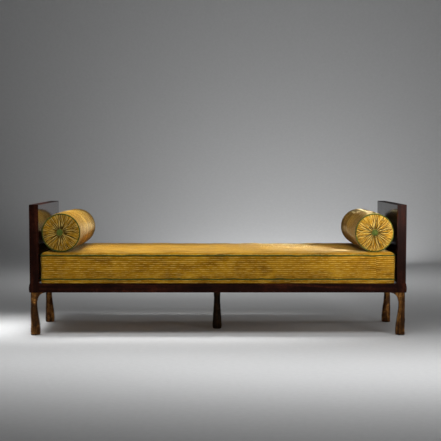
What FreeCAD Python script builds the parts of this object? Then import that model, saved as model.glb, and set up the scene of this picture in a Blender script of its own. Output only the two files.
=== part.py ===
"""A daybed: two solid wooden ends joined by rails, a slatted deck on five bronze legs,
a loose mattress and two loose bolsters.

Frame of the model: +X runs along the length, the front faces -Y, +Z is up.  The origin is on the
floor, in the middle of the footprint.  Sizes are in millimetres.
"""
import FreeCAD, Part
import math
import os
import re
import Sketcher
from FreeCAD import Placement, Rotation, Vector

DOC = FreeCAD.newDocument("Daybed")
SHEET = DOC.addObject("Spreadsheet::Sheet", "Dims")

DIMENSIONS = {
    # the two ends
    "overall_length": (2100, "length over the two ends, above the plinth"),
    "overall_depth": (820, "front to back"),
    "end_height": (730, "top of the ends above the floor"),
    "end_thickness": (52, "thickness of an end along X"),
    "post_depth": (100, "width of a post, front to back"),
    "top_rail_height": (70, "height of the rail along the top of an end"),
    "infill_recess": (1.5, "how far an infill board lies below the faces of its frame"),
    "waist_taper": (2.5, "how much an end narrows on its outside down to the plinth"),
    "plinth_top": (292, "height where the rounded plinth moulding starts"),
    "plinth_bulge": (85, "radius of the rounded plinth moulding"),
    "crest_rounding": (4, "radius along the top edges of an end"),
    "arris_radius": (2, "rounding of the long edges of posts and rails"),
    # the long rails and the deck
    "rail_bottom": (240, "underside of the rails above the floor"),
    "rail_height": (48, "height of the long rails and of the ends' bottom rails"),
    "rail_thickness": (30, "thickness of a long rail"),
    "cove_radius": (10, "cove where a long rail runs up to a post"),
    "ledger_width": (25, "strip inside a long rail that carries the slats"),
    "ledger_height": (30, "height of that strip"),
    "slat_width": (80, "width of a slat along X"),
    "slat_thickness": (18, "thickness of a slat"),
    "slat_play": (1, "gap between a slat's end and the rail"),
    "slats_each_side": (6, "slats on each side of the middle bearer"),
    "bearer_width": (70, "width of the middle bearer along X"),
    "block_length": (60, "length of a leg block along X"),
    "block_depth": (90, "size of a leg block along Y"),
    "bolt_aside": (25, "bolt through a leg block, off the middle of the block"),
    # legs
    "glide_height": (3, "felt glide under each foot"),
    "glide_radius": (18, "radius of a glide"),
    "foot_width": (51, "square foot of a leg"),
    "shin_width": (45, "width of a leg half way up"),
    "neck_width": (37, "narrowest width of a leg"),
    "collar_width": (46, "width of a leg under the frame"),
    "shin_height": (95, "height of the half-way section"),
    "neck_height": (195, "height of the narrowest section"),
    "foot_inset": (4, "foot's outer faces, in from the end's outer face"),
    "neck_inset": (4, "neck's outer faces, in from the end's outer face"),
    "rear_leg_inset": (212, "rear legs, in from the back of the frame"),
    "bracket_reach": (34, "how far a leg's bracket runs on past the end's inner face"),
    "bracket_radius": (43, "concave edge of a bracket"),
    "bracket_thickness": (24, "thickness of a bracket"),
    "bracket_foot": (14, "how far a bracket's root lies inside the leg"),
    "middle_leg_back": (285, "middle leg's axis, behind the front of the frame"),
    "middle_leg_aside": (-5, "middle leg's axis, along X from the middle"),
    "leg_rounding": (16, "rounding of a leg's long corners"),
    # hardware
    "stud_radius": (4, "threaded stud of a leg"),
    "stud_in_leg": (26, "length of a stud inside its leg"),
    "insert_radius": (6, "threaded insert in the wood"),
    "insert_length": (25, "length of an insert"),
    "dowel_radius": (5, "dowels of the frame joints"),
    "dowel_half": (18, "half the length of a dowel"),
    "bolt_length": (88, "shank of a block bolt"),
    "bolt_head_radius": (6.5, "head of a block bolt"),
    "bolt_head_height": (5, "height of that head"),
    "screw_radius": (2, "shank of a wood screw"),
    "screw_head_radius": (4, "head of a wood screw"),
    "screw_length": (34, "length of a wood screw"),
    # mattress
    "mattress_length": (1980, "mattress along X"),
    "mattress_depth": (808, "mattress along Y"),
    "mattress_bottom": (288.6, "underside of the mattress, just clear of slats and rails"),
    "mattress_top": (465, "top of the mattress"),
    "mattress_rounding": (20, "rounding of all its edges"),
    "cover_thickness": (8, "padding and cloth over the cores"),
    "piping_radius": (3.8, "cord in the mattress seams"),
    "piping_bury": (1.2, "how far the axis of a piping lies below the cloth"),
    "lower_seam": (314, "height of the lower piping"),
    "upper_seam": (446, "height of the upper piping"),
    # bolsters
    "bolster_radius": (104, "cloth radius of a bolster"),
    "bolster_length": (800, "length of a bolster along Y"),
    "bolster_gap": (16, "bolster's piping to the end"),
    "bolster_rest": (0.6, "bolster's piping above the mattress"),
    "end_rounding": (12, "rounding at a bolster's ends"),
    "bolster_piping": (3.6, "cord round a bolster's ends"),
    "bolster_piping_in": (16, "that cord's distance from the bolster's end face"),
    "button_radius": (18, "covered button"),
    "button_height": (9, "height of a covered button"),
    "button_sunk": (5, "how deep a button is drawn into the end"),
}

for row, (alias, (size, words)) in enumerate(DIMENSIONS.items(), start=1):
    SHEET.set(f"A{row}", words)
    SHEET.set(f"B{row}", str(size))
    SHEET.setAlias(f"B{row}", alias)
DOC.recompute()

# Formulas that several sub-parts share.
HALF_LENGTH = "overall_length / 2"
HALF_DEPTH = "overall_depth / 2"
INNER_FACE = "(overall_length / 2 - end_thickness)"
RAIL_TOP = "(rail_bottom + rail_height)"
RAIL_INSIDE = "(overall_depth / 2 - rail_thickness)"
LEDGER_INSIDE = "(overall_depth / 2 - rail_thickness - ledger_width)"
LEDGER_TOP = "(rail_bottom + ledger_height)"
DECK_TOP = "(rail_bottom + ledger_height + slat_thickness)"
POST_INSIDE = "(overall_depth / 2 - post_depth)"
BOLSTER_OUTER = "(bolster_radius + bolster_piping - piping_bury)"

SIDES = {"left": -1, "right": 1}
FACES = {"front": -1, "rear": 1}


def bound(formula):
    """The formula with every sheet alias written out in full."""
    return re.sub(r"[a-z]+(_[a-z]+)+", lambda word: "Dims." + word.group(), str(formula))


def number(formula):
    """What a formula comes to with the sheet's present values."""
    result = SHEET.evalExpression(bound(formula))
    return float(getattr(result, "Value", result))


def bind(thing, **formulas):
    """Bind properties of an object to formulas; a double underscore stands for a dot."""
    for name, formula in formulas.items():
        thing.setExpression(name.replace("__", "."), bound(formula))


# ---------------------------------------------------------------- sketches and basic solids

def new_sketch(body, name, role, lift="0"):
    """An empty sketch on one of the body's own planes, moved off it by lift."""
    sketch = body.newObject("Sketcher::SketchObject", name)
    plane = next(item for item in body.Origin.OriginFeatures if item.Role == role)
    sketch.AttachmentSupport = [(plane, "")]
    sketch.MapMode = "FlatFace"
    bind(sketch, AttachmentOffset__Base__z=lift)
    return sketch


def arc_through(start, end, radius, side):
    """The shorter arc from start to end; side +1 bulges to the right of the way it runs."""
    chord = end - start
    reach = chord.Length / 2
    sagitta = radius - math.sqrt(max(radius * radius - reach * reach, 0))
    right = Vector(chord.y, -chord.x, 0).normalize()
    middle = start + chord * 0.5 + right * (side * sagitta)
    return Part.Arc(start, middle, end)


def outline(body, name, role, corners, arcs=None, lift="0"):
    """A closed, fully bound outline.

    corners are pairs of formulas.  arcs gives {corner it starts from: (radius formula, side)}.
    """
    sketch = new_sketch(body, name, role, lift)
    arcs = arcs or {}
    spots = [Vector(number(x), number(y), 0) for x, y in corners]
    count = len(spots)
    for index, start in enumerate(spots):
        end = spots[(index + 1) % count]
        if index in arcs:
            radius, side = arcs[index]
            sketch.addGeometry(arc_through(start, end, number(radius), side))
        else:
            sketch.addGeometry(Part.LineSegment(start, end))

    def end_at(edge, spot):
        """Which end of an edge, 1 or 2, lies at a spot."""
        return 1 if (sketch.getPoint(edge, 1) - spot).Length < 1e-6 else 2

    for index, spot in enumerate(spots):
        before = (index - 1) % count
        here = end_at(index, spot)
        there = end_at(before, spot)
        sketch.addConstraint(Sketcher.Constraint("Coincident", index, here, before, there))
        for kind, place, formula in (("DistanceX", spot.x, corners[index][0]),
                                     ("DistanceY", spot.y, corners[index][1])):
            which = sketch.addConstraint(Sketcher.Constraint(kind, -1, 1, index, here, place))
            sketch.setExpression(f"Constraints[{which}]", bound(formula))
    for index, (radius, _) in arcs.items():
        which = sketch.addConstraint(Sketcher.Constraint("Radius", index, number(radius)))
        sketch.setExpression(f"Constraints[{which}]", bound(radius))
    return sketch


def rounded_rectangle(body, name, role, low, high, radius, lift="0"):
    """A rectangle between two corners with rounded corners."""
    (x_low, y_low), (x_high, y_high) = low, high
    corners = [
        (f"{x_low} + {radius}", y_low), (f"{x_high} - {radius}", y_low),
        (x_high, f"{y_low} + {radius}"), (x_high, f"{y_high} - {radius}"),
        (f"{x_high} - {radius}", y_high), (f"{x_low} + {radius}", y_high),
        (x_low, f"{y_high} - {radius}"), (x_low, f"{y_low} + {radius}"),
    ]
    return outline(body, name, role, corners, {side: (radius, 1) for side in (1, 3, 5, 7)}, lift)


def circle(body, name, role, radius, centre=("0", "0"), lift="0"):
    """A circle bound to its radius and centre."""
    sketch = new_sketch(body, name, role, lift)
    spot = Vector(number(centre[0]), number(centre[1]), 0)
    sketch.addGeometry(Part.Circle(spot, Vector(0, 0, 1), number(radius)))
    for kind, place, formula in (("DistanceX", spot.x, centre[0]), ("DistanceY", spot.y, centre[1])):
        which = sketch.addConstraint(Sketcher.Constraint(kind, -1, 1, 0, 3, place))
        sketch.setExpression(f"Constraints[{which}]", bound(formula))
    which = sketch.addConstraint(Sketcher.Constraint("Radius", 0, number(radius)))
    sketch.setExpression(f"Constraints[{which}]", bound(radius))
    return sketch


def new_body(name):
    return DOC.addObject("PartDesign::Body", name)


def pad(body, sketch, length, back=False):
    """Pad a sketch along its normal, or the other way."""
    feature = body.newObject("PartDesign::Pad", sketch.Name + "_pad")
    feature.Profile = sketch
    feature.Reversed = back
    bind(feature, Length=length)
    body.Tip = feature
    DOC.recompute()
    return feature


def edges_where(feature, test):
    """Names of the edges whose bounding box passes a test."""
    return [f"Edge{count}" for count, edge in enumerate(feature.Shape.Edges, start=1)
            if test(edge.BoundBox)]


def fillet(body, test, radius):
    """Round the edges of the body's tip that pass a test."""
    base = body.Tip
    feature = body.newObject("PartDesign::Fillet", body.Name + "_fillet")
    feature.Base = (base, edges_where(base, test))
    bind(feature, Radius=radius)
    body.Tip = feature
    DOC.recompute()
    return feature


def box(name, low, size):
    """A box from its low corner and its three sizes, all formulas."""
    solid = DOC.addObject("Part::Box", name)
    bind(solid, Length=size[0], Width=size[1], Height=size[2])
    bind(solid, Placement__Base__x=low[0], Placement__Base__y=low[1], Placement__Base__z=low[2])
    return solid


def cylinder(name, radius, length):
    solid = DOC.addObject("Part::Cylinder", name)
    bind(solid, Radius=radius, Height=length)
    return solid


def cut(name, base, tool):
    """base less tool."""
    solid = DOC.addObject("Part::Cut", name)
    solid.Base = base
    solid.Tool = tool
    return solid


def copies(name, piece, placements):
    """One group of identical solids, each a copy of piece."""
    DOC.recompute()
    group = DOC.addObject("Part::Feature", name)
    group.Shape = Part.makeCompound([piece.Shape.transformed(place.toMatrix()) for place in placements])
    return group


def compound(name, parts):
    group = DOC.addObject("Part::Compound", name)
    group.Links = parts
    return group


NODES = {}


def finish(node, solid):
    """Name a finished sub-part."""
    solid.Label = node
    NODES[node] = solid
    return solid


# ---------------------------------------------------------------- hardware

ALONG_X = {1: Rotation(Vector(0, 1, 0), 90), -1: Rotation(Vector(0, 1, 0), -90)}
ALONG_Y = {1: Rotation(Vector(1, 0, 0), -90), -1: Rotation(Vector(1, 0, 0), 90)}


def place(x, y, z, turn=Rotation()):
    """A placement from three formulas."""
    return Placement(Vector(number(x), number(y), number(z)), turn)


NECK_MIDDLE = "(neck_inset + neck_width / 2)"
FRONT_LEG_Y = f"({NECK_MIDDLE} - {HALF_DEPTH})"
REAR_LEG_Y = f"({HALF_DEPTH} - rear_leg_inset - {NECK_MIDDLE})"
MIDDLE_LEG_Y = f"(middle_leg_back - {HALF_DEPTH})"
# A leg block lies over each corner leg's bracket; the front ones are pushed up to the ledger.
BLOCK_Y = {"front": f"(block_depth / 2 - {LEDGER_INSIDE})", "rear": REAR_LEG_Y}


def leg_axes():
    """Plan position of each leg's axis, at its neck."""
    axes = []
    for side in SIDES.values():
        across = f"{side} * ({HALF_LENGTH} - {NECK_MIDDLE})"
        axes += [(across, FRONT_LEG_Y), (across, REAR_LEG_Y)]
    return axes + [("middle_leg_aside", MIDDLE_LEG_Y)]


def make_leg_hardware():
    """Studs, threaded inserts and glides: one of each for every leg."""
    stud = cylinder("one_stud", "stud_radius", "stud_in_leg + insert_length")
    insert = cylinder("one_insert_hole", "insert_radius", "insert_length")
    glide = cylinder("one_glide", "glide_radius", "glide_height")
    axes = leg_axes()
    studs = copies("stud_group", stud, [place(x, y, "rail_bottom - stud_in_leg") for x, y in axes])
    plugs = copies("insert_holes", insert, [place(x, y, "rail_bottom") for x, y in axes])
    glides = copies("glide_group", glide, [place(x, y, "0") for x, y in axes])
    finish("leg_studs", studs)
    finish("leg_inserts", cut("insert_group", plugs, studs))
    finish("leg_glides", glides)
    return studs, plugs


def make_block_bolts():
    """Bolts from inside through the leg blocks into the ends, and their inserts."""
    shank = cylinder("bolt_shank", "stud_radius", "bolt_length")
    head = cylinder("bolt_head", "bolt_head_radius", "bolt_head_height")
    bind(head, Placement__Base__z="-1 * bolt_head_height")
    bolt = DOC.addObject("Part::Fuse", "one_bolt")
    bolt.Base = shank
    bolt.Tool = head
    insert = cylinder("bolt_insert_hole", "insert_radius", "insert_length")
    height = "rail_bottom + ledger_height / 2"
    bolts = []
    holes = []
    for side in SIDES.values():
        for block_y in BLOCK_Y.values():
            y = f"{block_y} + bolt_aside"
            bolts.append(place(f"{side} * ({INNER_FACE} - block_length)", y, height, ALONG_X[side]))
            holes.append(place(f"{side} * {INNER_FACE}", y, height, ALONG_X[side]))
    bolt_group = copies("bolt_group", bolt, bolts)
    hole_group = copies("bolt_insert_holes", insert, holes)
    finish("block_bolts", bolt_group)
    finish("block_bolt_inserts", cut("bolt_insert_group", hole_group, bolt_group))
    return bolt_group, hole_group


def make_dowels():
    """Dowels of the rail joints along X and of the ends' joints along Y."""
    dowel = cylinder("one_dowel", "dowel_radius", "2 * dowel_half")
    spots = []
    for sx in SIDES.values():
        for sy in FACES.values():
            rail_y = f"{sy} * (overall_depth / 2 - rail_thickness / 2)"
            for height in ("rail_bottom + 12", "rail_bottom + rail_height - 12"):
                start = f"{sx} * ({INNER_FACE} - dowel_half)"
                spots.append(place(start, rail_y, height, ALONG_X[sx]))
            middle = f"{sx} * (overall_length / 2 - end_thickness / 2)"
            joint = f"{sy} * ({POST_INSIDE} - dowel_half)"
            for height in (f"{RAIL_TOP} - 10", "end_height - 22", "end_height - top_rail_height + 22"):
                spots.append(place(middle, joint, height, ALONG_Y[sy]))
    return finish("frame_dowels", copies("dowel_group", dowel, spots))


def make_screw():
    """A countersunk wood screw, head up, its top at the origin."""
    body = new_body("one_screw")
    profile = outline(body, "screw_profile", "XZ_Plane", [
        ("0", "0"), ("screw_head_radius", "0"), ("screw_radius", "-1 * screw_radius"),
        ("screw_radius", "2 * screw_radius - screw_length"), ("0", "-1 * screw_length")])
    turned = body.newObject("PartDesign::Revolution", "screw_turned")
    turned.Profile = profile
    turned.ReferenceAxis = (profile, ["V_Axis"])
    turned.Angle = 360
    body.Tip = turned
    return body


def slat_centres():
    """Middle of each slat along X, from left to right."""
    count = int(number("slats_each_side"))
    gap = f"(({INNER_FACE} - bearer_width / 2 - {count} * slat_width) / {count + 1})"
    right = [f"bearer_width / 2 + {step + 1} * {gap} + {step + 0.5} * slat_width"
             for step in range(count)]
    return [f"-1 * ({x})" for x in reversed(right)] + right


def make_screws(screw):
    """Screws down through the slat ends, and sideways through the ledgers between the slats."""
    slats = slat_centres()
    members = slats[:len(slats) // 2] + ["0"] + slats[len(slats) // 2:]
    between = [f"(({left}) + ({right})) / 2" for left, right in zip(members, members[1:])]
    slat_spots = []
    ledger_spots = []
    for sy in FACES.values():
        ledger_middle = f"{sy} * ({LEDGER_INSIDE} + ledger_width / 2)"
        ledger_face = f"{sy} * {LEDGER_INSIDE}"
        slat_spots += [place(x, ledger_middle, DECK_TOP) for x in members]
        ledger_spots += [place(x, ledger_face, "rail_bottom + ledger_height / 2", ALONG_Y[-sy])
                         for x in between]
    slat_screws = finish("slat_screws", copies("slat_screw_group", screw, slat_spots))
    ledger_screws = finish("ledger_screws", copies("ledger_screw_group", screw, ledger_spots))
    return slat_screws, ledger_screws


# ---------------------------------------------------------------- the ends

def end_section(body, side, bottom, top):
    """Outline across an end, in XZ: the outside leans in to the plinth and bulges round it."""
    inner = f"{side} * {INNER_FACE}"
    outer = f"{side} * {HALF_LENGTH}"
    waist = f"{side} * ({HALF_LENGTH} - waist_taper)"
    corners = [(inner, top), (inner, bottom)]
    arcs = {}
    if bottom == "rail_bottom":
        corners += [(outer, bottom), (waist, "plinth_top")]
        arcs[2] = ("plinth_bulge", side)
    else:
        corners.append((waist, bottom))
    if top != "plinth_top":
        corners.append((outer, top))
    return outline(body, body.Name + "_section", "XZ_Plane", corners, arcs)


def make_post(side_name, side, face_name, face, holes):
    """A post: full height, full thickness of the end."""
    body = new_body(f"post_{face_name}_{side_name}_blank")
    section = end_section(body, side, "rail_bottom", "end_height")
    pad(body, section, "post_depth", back=True)
    low = f"-1 * {HALF_DEPTH}" if face < 0 else POST_INSIDE
    show = 0 if face < 0 else number("post_depth")
    top = number("end_height")
    fillet(body, lambda b: b.ZMin > top - 0.1 and b.YLength > 1, "crest_rounding")
    fillet(body, lambda b: abs(b.YMin - show) < 0.1 and b.YLength < 0.1 and b.ZLength > 300, "arris_radius")
    bind(body, Placement__Base__y=low)
    name = f"post_{face_name}_{side_name}"
    return finish(name, cut(f"{name}_cut", body, holes))


def make_end_rail(node, side, bottom, top, holes):
    """A rail between the two posts of an end."""
    body = new_body(f"{node}_blank")
    pad(body, end_section(body, side, bottom, top), f"2 * {POST_INSIDE}", back=True)
    if top == "end_height":
        crest = number("end_height")
        fillet(body, lambda b: b.ZMin > crest - 0.1 and b.YLength > 1, "crest_rounding")
    bind(body, Placement__Base__y=f"-1 * {POST_INSIDE}")
    return finish(node, cut(f"{node}_cut", body, holes))


def make_end(side_name, side, holes):
    """One end: two posts, two rails and the infill board."""
    for face_name, face in FACES.items():
        make_post(side_name, side, face_name, face, holes)
    make_end_rail(f"end_top_rail_{side_name}", side, "end_height - top_rail_height", "end_height", holes)
    make_end_rail(f"end_bottom_rail_{side_name}", side, "rail_bottom", "plinth_top", holes)
    thickness = "end_thickness - waist_taper - 2 * infill_recess"
    low_x = f"{INNER_FACE} + infill_recess"
    if side < 0:
        low_x = f"-1 * ({low_x}) - ({thickness})"
    board = box(f"infill_{side_name}", (low_x, f"-1 * {POST_INSIDE}", "plinth_top"),
                (thickness, f"2 * {POST_INSIDE}", "end_height - top_rail_height - plinth_top"))
    finish(f"end_infill_{side_name}", board)


# ---------------------------------------------------------------- rails and deck

def make_long_rail(face_name, face, holes):
    """A long rail whose top sweeps up to the posts in a small cove."""
    body = new_body(f"{face_name}_rail_blank")
    end = INNER_FACE
    sketch = outline(body, f"{face_name}_rail_outline", "XZ_Plane", [
        (f"-1 * {end}", "rail_bottom"), (end, "rail_bottom"),
        (end, f"{RAIL_TOP} + cove_radius"), (f"{end} - cove_radius", RAIL_TOP),
        (f"cove_radius - {end}", RAIL_TOP), (f"-1 * {end}", f"{RAIL_TOP} + cove_radius"),
    ], {2: ("cove_radius", -1), 4: ("cove_radius", -1)})
    pad(body, sketch, "rail_thickness", back=True)
    show = 0 if face < 0 else number("rail_thickness")
    low = number("rail_bottom")
    fillet(body, lambda b: abs(b.YMin - show) < 0.1 and b.YLength < 0.1 and b.ZMax < low + 0.1,
           "arris_radius")
    bind(body, Placement__Base__y=f"-1 * {HALF_DEPTH}" if face < 0 else RAIL_INSIDE)
    return finish(f"{face_name}_rail", cut(f"{face_name}_rail_cut", body, holes))


def make_ledgers(holes):
    """A strip along the inside of each rail; the middle bearer is lapped over it."""
    for face_name, face in FACES.items():
        low_y = f"-1 * {RAIL_INSIDE}" if face < 0 else LEDGER_INSIDE
        strip = box(f"{face_name}_ledger_blank", (f"-1 * {INNER_FACE}", low_y, "rail_bottom"),
                    (f"2 * {INNER_FACE}", "ledger_width", "ledger_height"))
        finish(f"{face_name}_ledger", cut(f"{face_name}_ledger_cut", strip, holes))


def make_bearer(holes):
    """The cross member in the middle, notched at both ends to lie over the ledgers."""
    body = new_body("bearer_blank")
    end = f"({RAIL_INSIDE} - slat_play)"
    notch = f"({LEDGER_INSIDE} - slat_play)"
    sketch = outline(body, "bearer_outline", "YZ_Plane", [
        (f"-1 * {notch}", "rail_bottom"), (notch, "rail_bottom"),
        (notch, LEDGER_TOP), (end, LEDGER_TOP), (end, DECK_TOP),
        (f"-1 * {end}", DECK_TOP), (f"-1 * {end}", LEDGER_TOP), (f"-1 * {notch}", LEDGER_TOP)])
    pad(body, sketch, "bearer_width")
    bind(body, Placement__Base__x="-1 * bearer_width / 2")
    finish("middle_bearer", cut("bearer_cut", body, holes))


def make_slats(holes):
    """Slats across the bed, numbered from the left."""
    length = f"2 * ({RAIL_INSIDE} - slat_play)"
    for count, centre in enumerate(slat_centres(), start=1):
        board = box(f"slat_{count:02d}_blank",
                    (f"{centre} - slat_width / 2", f"slat_play - {RAIL_INSIDE}", LEDGER_TOP),
                    ("slat_width", length, "slat_thickness"))
        finish(f"slat_{count:02d}", cut(f"slat_{count:02d}_cut", board, holes))


def make_leg_blocks(holes):
    """Blocks bolted to the ends from inside, over the legs' brackets."""
    for side_name, side in SIDES.items():
        for face_name in FACES:
            low_x = f"-1 * {INNER_FACE}" if side < 0 else f"{INNER_FACE} - block_length"
            low_y = f"{BLOCK_Y[face_name]} - block_depth / 2"
            name = f"leg_block_{face_name}_{side_name}"
            block = box(f"{name}_blank", (low_x, low_y, "rail_bottom"),
                        ("block_length", "block_depth", "ledger_height"))
            finish(name, cut(f"{name}_cut", block, holes))


# ---------------------------------------------------------------- legs

def leg_level(body, name, width, inset_x, inset_y, side, face, height):
    """One level of a corner leg: a rounded square set in from two outer faces."""
    outer_x = f"({HALF_LENGTH} - ({inset_x}))"
    outer_y = f"({HALF_DEPTH} - ({inset_y}))"
    low_x = f"{outer_x} - {width}" if side > 0 else f"-1 * {outer_x}"
    low_y = f"{outer_y} - {width}" if face > 0 else f"-1 * {outer_y}"
    return rounded_rectangle(body, name, "XY_Plane", (low_x, low_y),
                             (f"{low_x} + {width}", f"{low_y} + {width}"), "leg_rounding", height)


def loft(body, levels):
    """A smooth loft through the levels, bottom first."""
    feature = body.newObject("PartDesign::AdditiveLoft", body.Name + "_loft")
    feature.Profile = levels[0]
    feature.Sections = levels[1:]
    body.Tip = feature
    DOC.recompute()
    return feature


def make_bracket(body, role, along, across, sign):
    """A concave bracket in the upright plane given by role.

    along is where the bracket's tip ends, measured outwards from the middle of the bed;
    across is the coordinate of its near face; sign says which end of the bed it is on.
    """
    root = f"({along} + bracket_radius + bracket_foot)"
    tip = f"{sign} * {along}"
    top_of_arc = "rail_bottom - 3"
    foot_of_arc = "rail_bottom - 3 - bracket_radius"
    corners = [(tip, "rail_bottom"), (tip, top_of_arc),
               (f"{sign} * ({along} + bracket_radius)", foot_of_arc),
               (f"{sign} * {root}", foot_of_arc), (f"{sign} * {root}", "rail_bottom")]
    sketch = outline(body, f"{body.Name}_{role[:2]}_bracket", role, corners,
                     {1: ("bracket_radius", -sign)}, lift=across)
    pad(body, sketch, "bracket_thickness", back=True)


def make_corner_leg(face_name, face, side_name, side, holes):
    """A corner leg: splayed foot, slim neck, and a bracket under the frame on two sides."""
    name = f"leg_{face_name}_{side_name}"
    set_in = "rear_leg_inset" if face > 0 else "0"
    body = new_body(f"{name}_blank")
    levels = []
    for level, width, inset, height in (
            ("foot", "foot_width", "foot_inset", "glide_height"),
            ("shin", "shin_width", "neck_inset", "shin_height"),
            ("neck", "neck_width", "neck_inset", "neck_height"),
            ("collar", "collar_width", "foot_inset", "rail_bottom")):
        levels.append(leg_level(body, f"{name}_{level}", width, inset, f"{inset} + {set_in}",
                                side, face, height))
    loft(body, levels)
    middle_y = REAR_LEG_Y if face > 0 else FRONT_LEG_Y
    middle_x = f"{side} * ({HALF_LENGTH} - {NECK_MIDDLE})"
    tip_x = f"({INNER_FACE} - bracket_reach)"
    tip_y = f"({HALF_DEPTH} - {set_in} - end_thickness - bracket_reach)"
    make_bracket(body, "XZ_Plane", tip_x, f"-1 * ({middle_y}) + bracket_thickness / 2", side)
    make_bracket(body, "YZ_Plane", tip_y, f"{middle_x} + bracket_thickness / 2", face)
    return finish(name, cut(f"{name}_cut", body, holes))


def make_middle_leg(holes):
    """The middle leg, under the bearer: the same profile, without brackets."""
    body = new_body("middle_leg_blank")
    levels = []
    for level, width, height in (("foot", "foot_width", "glide_height"),
                                 ("shin", "shin_width", "shin_height"),
                                 ("neck", "neck_width", "neck_height"),
                                 ("collar", "collar_width", "rail_bottom")):
        low = (f"middle_leg_aside - {width} / 2", f"{MIDDLE_LEG_Y} - {width} / 2")
        high = (f"middle_leg_aside + {width} / 2", f"{MIDDLE_LEG_Y} + {width} / 2")
        levels.append(rounded_rectangle(body, f"middle_{level}", "XY_Plane", low, high,
                                        "leg_rounding", height))
    loft(body, levels)
    return finish("leg_middle", cut("middle_leg_cut", body, holes))


# ---------------------------------------------------------------- mattress

def rounded_block(name, inset, rounding):
    """The mattress's block, every edge rounded, made smaller all round by inset."""
    body = new_body(name)
    sketch = rounded_rectangle(
        body, f"{name}_plan", "XY_Plane",
        (f"{inset} - mattress_length / 2", f"{inset} - mattress_depth / 2"),
        (f"mattress_length / 2 - {inset}", f"mattress_depth / 2 - {inset}"), rounding)
    pad(body, sketch, f"mattress_top - mattress_bottom - 2 * {inset}")
    fillet(body, lambda b: b.ZLength < 0.1, rounding)
    bind(body, Placement__Base__z=f"mattress_bottom + {inset}")
    return body


def make_piping(node, height):
    """A cord all the way round the mattress at one height."""
    body = new_body(f"{node}_body")
    inset = "piping_bury"
    path = rounded_rectangle(
        body, f"{node}_path", "XY_Plane",
        (f"{inset} - mattress_length / 2", f"{inset} - mattress_depth / 2"),
        (f"mattress_length / 2 - {inset}", f"mattress_depth / 2 - {inset}"),
        "(mattress_rounding - piping_bury)", lift=height)
    section = circle(body, f"{node}_section", "YZ_Plane", "piping_radius",
                     (f"{inset} - mattress_depth / 2", height))
    swept = body.newObject("PartDesign::AdditivePipe", f"{node}_pipe")
    swept.Profile = section
    swept.Spine = (path, [])
    body.Tip = swept
    return finish(node, body)


def make_mattress():
    """The core, the padded cover round it, and the two pipings let into the cover."""
    outside = rounded_block("mattress_outside", "0", "mattress_rounding")
    core = rounded_block("mattress_inside", "cover_thickness", "(mattress_rounding - cover_thickness)")
    lower = make_piping("mattress_piping_lower", "lower_seam")
    upper = make_piping("mattress_piping_upper", "upper_seam")
    shell = cut("mattress_shell", outside, core)
    finish("mattress_cover", cut("mattress_shell_grooved", shell, compound("pipings", [lower, upper])))
    finish("mattress_core", core)


# ---------------------------------------------------------------- bolsters

def lay_along_y(solid, x, y, height, face=1):
    """Turn a solid made along Z to lie along Y, and put its start at a place."""
    solid.Placement = Placement(Vector(), ALONG_Y[face])
    bind(solid, Placement__Base__x=x, Placement__Base__y=y, Placement__Base__z=height)


def rounded_roll(name, inset, x, height):
    """A bolster's roll along Y with rounded ends, made smaller all round by inset."""
    roll = cylinder(f"{name}_roll", f"bolster_radius - {inset}", f"bolster_length - 2 * {inset}")
    lay_along_y(roll, x, f"{inset} - bolster_length / 2", height)
    DOC.recompute()
    rounded = DOC.addObject("Part::Fillet", name)
    rounded.Base = roll
    radius = number(f"end_rounding - {inset}")
    rims = [count for count, edge in enumerate(roll.Shape.Edges, start=1)
            if edge.BoundBox.YLength < 0.1]
    rounded.Edges = [(count, radius, radius) for count in rims]
    return rounded


def make_bolster(side_name, side):
    """A bolster: filling, cloth, a piping near each end and a button in each end."""
    x = f"{side} * ({INNER_FACE} - bolster_gap - {BOLSTER_OUTER})"
    height = f"mattress_top + bolster_rest + {BOLSTER_OUTER}"
    tools = []
    for face_name, face in FACES.items():
        ring = DOC.addObject("Part::Torus", f"ring_{face_name}_{side_name}")
        bind(ring, Radius1="bolster_radius - piping_bury", Radius2="bolster_piping")
        lay_along_y(ring, x, f"{face} * (bolster_length / 2 - bolster_piping_in)", height)
        button = cylinder(f"button_{face_name}_{side_name}_blank", "button_radius", "button_height")
        lay_along_y(button, x, f"{face} * (bolster_length / 2 - button_sunk)", height, face)
        tools += [ring, button]
        finish(f"bolster_{side_name}_piping_{face_name}", ring)
        finish(f"bolster_{side_name}_button_{face_name}", button)
    trims = compound(f"bolster_{side_name}_trims", tools)
    outside = rounded_roll(f"bolster_{side_name}_outside", "0", x, height)
    inside = rounded_roll(f"bolster_{side_name}_inside", "cover_thickness", x, height)
    trimmed = cut(f"bolster_{side_name}_trimmed", outside, trims)
    shell = cut(f"bolster_{side_name}_shell", trimmed, inside)
    finish(f"bolster_{side_name}_filling", inside)
    finish(f"bolster_{side_name}_cover", shell)


def check_and_write():
    """Refuse a failed object or a bad shape, then write one STEP file for each node."""
    DOC.recompute()
    failed = [item.Name for item in DOC.Objects if {"Invalid", "Error"} & set(item.State)]
    if failed:
        raise RuntimeError("failed objects: " + ", ".join(failed))
    for node, solid in NODES.items():
        if solid.Shape.isNull() or not solid.Shape.isValid() or not solid.Shape.Solids:
            raise RuntimeError("bad shape: " + node)
    os.makedirs("parts", exist_ok=True)
    for node, solid in NODES.items():
        solid.Shape.exportStep(f"parts/{node}.step")
    print(len(NODES), "nodes written")


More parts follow.
